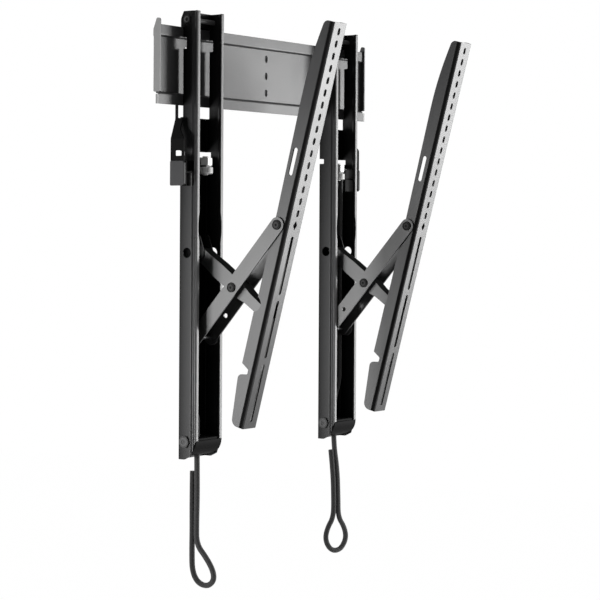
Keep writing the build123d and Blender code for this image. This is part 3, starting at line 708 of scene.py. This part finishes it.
@dataclass
class PullCord:
    """The latch's pull cord, from the latch's tongue down the rail to a hanging loop.

    The hidden run is given by Y and Z, the run in the cap by Z, and a loop by its distance from the
    hanging run and Z, all in millimetres. A loop's plane is turned about the hanging run, in degrees.

    Attributes:
        side: Which half it belongs to.
        diameter: Cord diameter, in millimetres.
        inner_x: Distance of the hidden run from the middle, in millimetres.
        rail_x: Distance of the hanging run from the middle, in millimetres.
        out_y: Depth of the hanging run, in millimetres.
    """

    side: Side
    diameter: float = 9.4
    inner_x: float = 227.5
    rail_x: float = 206.0
    out_y: float = -15.5

    ROUND_STEPS = 4
    RUN_STEPS = 10
    CURVE_ORDER = 3
    LENGTHS = {Side.LEFT: 0.919, Side.RIGHT: 0.907}
    LOOP_TURNS = {Side.LEFT: 90.0, Side.RIGHT: 25.0}
    HIDDEN = ((-13.0, -173.0), (-13.0, -215.0), (-12.0, -265.0), (-12.0, -335.0), (-12.4, -420.0),
              (-12.0, -500.0), (-12.6, -550.0))
    IN_CAP = (-580.0, -600.0)
    LOOPS = {
        Side.LEFT: ((0.5, -650.0), (1.4, -712.0), (0.2, -762.0), (0.6, -796.0), (21.0, -816.0),
                    (36.0, -837.0), (37.5, -853.0), (24.0, -864.0), (4.0, -860.0), (-8.0, -842.0),
                    (-9.0, -811.0), (-8.4, -772.0), (-9.0, -722.0), (-8.4, -674.0)),
        Side.RIGHT: ((0.0, -662.0), (8.0, -710.0), (10.2, -764.0), (10.6, -798.0), (24.0, -818.0),
                     (28.5, -838.0), (19.0, -856.0), (5.7, -861.0), (-7.5, -856.0), (-17.0, -838.0),
                     (-12.5, -818.0), (0.8, -798.0), (0.8, -762.0), (-0.9, -716.0), (-5.8, -674.0)),
    }

    def route(self) -> list[Point]:
        """Lays the cord out.

        Returns:
            Its control points from the tongue to the tail's end, in metres.
        """
        sign, turn = self.side.value, math.radians(self.LOOP_TURNS[self.side])
        points = [(sign * self.inner_x, y, z) for y, z in self.HIDDEN]
        points += [(sign * self.rail_x, self.out_y, z) for z in self.IN_CAP]
        for u, z in self.LOOPS[self.side]:
            points.append((sign * self.rail_x + u * math.cos(turn), self.out_y - u * math.sin(turn), z))
        return [(x * MM, y * MM, z * MM) for x, y, z in points]

    def build(self, dresser: Dresser) -> bpy.types.Object:
        """Args:
            dresser: Gives the braid.

        Returns:
            The curve object.
        """
        name = f"{self.side.prefix}_cord"
        curve = bpy.data.curves.new(name, "CURVE")
        curve.dimensions = "3D"
        curve.bevel_depth = self.diameter * MM / 2.0
        curve.bevel_resolution = self.ROUND_STEPS
        curve.resolution_u = self.RUN_STEPS
        curve.use_fill_caps = True
        route = self.route()
        spline = curve.splines.new("NURBS")
        spline.points.add(len(route) - 1)
        for point, place in zip(spline.points, route):
            point.co = (*place, 1.0)
        spline.order_u = self.CURVE_ORDER
        spline.use_endpoint_u = True
        curve.materials.append(dresser.material(CORD_BRAID))
        cord = bpy.data.objects.new(name, curve)
        bpy.context.scene.collection.objects.link(cord)
        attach(cord, f"{self.side.prefix}_latch_set")
        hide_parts(f"{self.side.prefix}_pull_cord")
        return cord


@dataclass(frozen=True)
class Softbox:
    """A rectangular studio lamp aimed at a point.

    Attributes:
        name: Lamp name.
        place: Where it stands, in metres.
        aim: What it points at, in metres.
        size: Width and height, in metres.
        power: Watts.
    """

    name: str
    place: Point
    aim: Point
    size: tuple[float, float]
    power: float

    def build(self) -> bpy.types.Object:
        """Makes the lamp.

        Returns:
            The lamp object.
        """
        light = bpy.data.lights.new(self.name, "AREA")
        light.shape = "RECTANGLE"
        light.size, light.size_y = self.size
        light.energy = self.power
        lamp = bpy.data.objects.new(self.name, light)
        lamp.location = self.place
        way = Vector(self.aim) - Vector(self.place)
        lamp.rotation_euler = way.to_track_quat("-Z", "Y").to_euler()
        bpy.context.scene.collection.objects.link(lamp)
        return lamp


@dataclass(frozen=True)
class Card:
    """A flat card of the set: the floor, or a black flag that is seen only in the gloss of the coats.

    Attributes:
        name: Card name.
        place: Its middle, in metres.
        aim: What it faces, in metres.
        size: Width and height, in metres.
    """

    name: str
    place: Point
    aim: Point
    size: tuple[float, float]

    def build(self, material: bpy.types.Material) -> bpy.types.Object:
        """Makes the card.

        Args:
            material: Its material.

        Returns:
            The card object.
        """
        mesh = bpy.data.meshes.new(self.name)
        shape = bmesh.new()
        bmesh.ops.create_grid(shape, x_segments=1, y_segments=1, size=0.5)
        bmesh.ops.scale(shape, vec=(*self.size, 1.0), verts=shape.verts)
        way = (Vector(self.aim) - Vector(self.place)).to_track_quat("Z", "Y").to_matrix().to_4x4()
        bmesh.ops.transform(shape, matrix=Matrix.Translation(self.place) @ way, verts=shape.verts)
        shape.to_mesh(mesh)
        shape.free()
        mesh.materials.append(material)
        card = bpy.data.objects.new(self.name, mesh)
        bpy.context.scene.collection.objects.link(card)
        return card


@dataclass
class Studio:
    """Floor, world, lamps, flags and camera.

    Attributes:
        floor_z: Height of the floor, in metres.
        floor_size: Side of the floor, in metres.
        floor_grey: Grey of the floor where light falls on it.
        floor_glow: Share of the floor's own white where it is seen; the rest is lit and shaded.
        flag_grey: Grey of the flags.
        ambient: Grey of the room's light.
        camera_place: Where the camera stands, in metres.
        heading: Turn of the camera about Z, in degrees.
        roll: Turn of the camera about its line of sight, in degrees.
        sensor: Width of the camera's sensor, in millimetres.
        lens: Focal length, in millimetres.
        shift_y: Vertical shift of the frame, as a share of its side.
        clip_end: How far the camera sees, in metres.
    """

    floor_z: float = -1.75
    floor_size: float = 14.0
    floor_grey: float = 0.85
    floor_glow: float = 0.997
    flag_grey: float = 0.004
    ambient: float = 0.22
    camera_place: Point = (-2.831, -2.039, -0.270)
    heading: float = -55.32
    roll: float = 0.32
    sensor: float = 36.0
    lens: float = 118.9
    shift_y: float = -0.1167
    clip_end: float = 100.0

    FLOOR_ROUGHNESS = 0.9
    LAMPS = (
        Softbox("key_right_front", (2.18, -1.76, -0.43), (0.0, -0.15, -0.35), (0.9, 1.68), 72.0),
        Softbox("left_rear", (-2.95, 0.85, -0.8), (-0.1, -0.1, -0.4), (0.45, 0.6), 55.0),
        Softbox("strip_left_rear", (-1.5, 0.82, -0.55), (0.0, -0.1, -0.45), (0.55, 0.85), 6.0),
        Softbox("top", (-0.4, -0.9, 2.2), (0.0, -0.1, -0.3), (1.6, 1.6), 1.5),
    )
    FLAGS = (
        Card("flag_left", (-4.2, -1.9, 0.6), (-1.0, -1.9, 0.6), (4.4, 4.0)),
        Card("flag_front", (-1.6, -4.2, 0.6), (-1.6, -1.0, 0.6), (4.8, 4.0)),
        Card("flag_left_rear", (-1.9, 1.25, 0.55), (0.0, -0.1, 0.3), (1.6, 1.3)),
        Card("flag_right_top", (1.9, 0.35, 1.05), (-0.1, -0.1, -0.3), (1.7, 1.3)),
    )

    @staticmethod
    def seen_factor(tree: Tree) -> Socket:
        """One where a camera, glossy or transmission ray arrives, else zero.

        Args:
            tree: The tree to add the nodes to.

        Returns:
            The factor's socket.
        """
        ray = tree.nodes.new("ShaderNodeLightPath").outputs
        mirrored = math_node(tree, "MAXIMUM", ray["Is Glossy Ray"], ray["Is Transmission Ray"])
        return math_node(tree, "MAXIMUM", ray["Is Camera Ray"], mirrored)

    def world(self) -> None:
        """Lights the room evenly, and shows white where the camera looks past the object."""
        world = bpy.data.worlds.new("studio")
        bpy.context.scene.world = world
        world.use_nodes = True
        tree = world.node_tree
        light = mix_node(tree, "RGBA", self.seen_factor(tree), grey(self.ambient), grey(1.0))
        tree.links.new(light, tree.nodes["Background"].inputs["Color"])

    def floor(self) -> None:
        """Lays a pale floor under the hanging loops."""
        material, tree, shader = new_material("floor_white")
        shader.inputs["Base Color"].default_value = (*grey(self.floor_grey), 1.0)
        shader.inputs["Roughness"].default_value = self.FLOOR_ROUGHNESS
        glow = tree.nodes.new("ShaderNodeEmission")
        mix = tree.nodes.new("ShaderNodeMixShader")
        share = math_node(tree, "MULTIPLY", self.seen_factor(tree), self.floor_glow)
        for slot, source in zip(mix.inputs, (share, shader.outputs[0], glow.outputs[0])):
            tree.links.new(source, slot)
        tree.links.new(mix.outputs[0], tree.nodes["Material Output"].inputs["Surface"])
        middle, above = (0.0, 0.0, self.floor_z), (0.0, 0.0, 0.0)
        Card("floor", middle, above, (self.floor_size, self.floor_size)).build(material)

    def flags(self) -> None:
        """Sets the black flags, which show only in the gloss."""
        material, _, shader = new_material("flag_black")
        shader.inputs["Base Color"].default_value = (*grey(self.flag_grey), 1.0)
        shader.inputs["Roughness"].default_value = 1.0
        shader.inputs["Specular IOR Level"].default_value = 0.0
        for flag in self.FLAGS:
            card = flag.build(material)
            card.visible_camera = False
            card.visible_diffuse = False
            card.visible_shadow = False

    def camera(self) -> None:
        """Sets the photograph's camera."""
        data = bpy.data.cameras.new("camera")
        data.lens = self.lens
        data.sensor_width = self.sensor
        data.shift_y = self.shift_y
        data.clip_end = self.clip_end
        camera = bpy.data.objects.new("camera", data)
        level = Matrix.Rotation(math.radians(90.0), 4, "X")
        turn = Matrix.Rotation(math.radians(self.heading), 4, "Z") @ level
        turn = turn @ Matrix.Rotation(math.radians(self.roll), 4, "Z")
        camera.matrix_world = Matrix.Translation(self.camera_place) @ turn
        bpy.context.scene.collection.objects.link(camera)
        bpy.context.scene.camera = camera

    def build(self) -> None:
        """Builds the whole studio."""
        self.world()
        self.floor()
        for lamp in self.LAMPS:
            lamp.build()
        self.flags()
        self.camera()
        bpy.context.scene.view_settings.view_transform = "Standard"
        LOG.info("set the studio")


def main() -> None:
    """Dresses the bracket and sets the studio."""
    logging.basicConfig(level=logging.INFO)
    dresser = Dresser(SurfaceGroups())
    Studio().build()
    for side in Side:
        cord = PullCord(side).build(dresser)
        LOG.info("made %s", cord.name)
    dresser.dress_all()


if __name__ == "__main__":
    main()
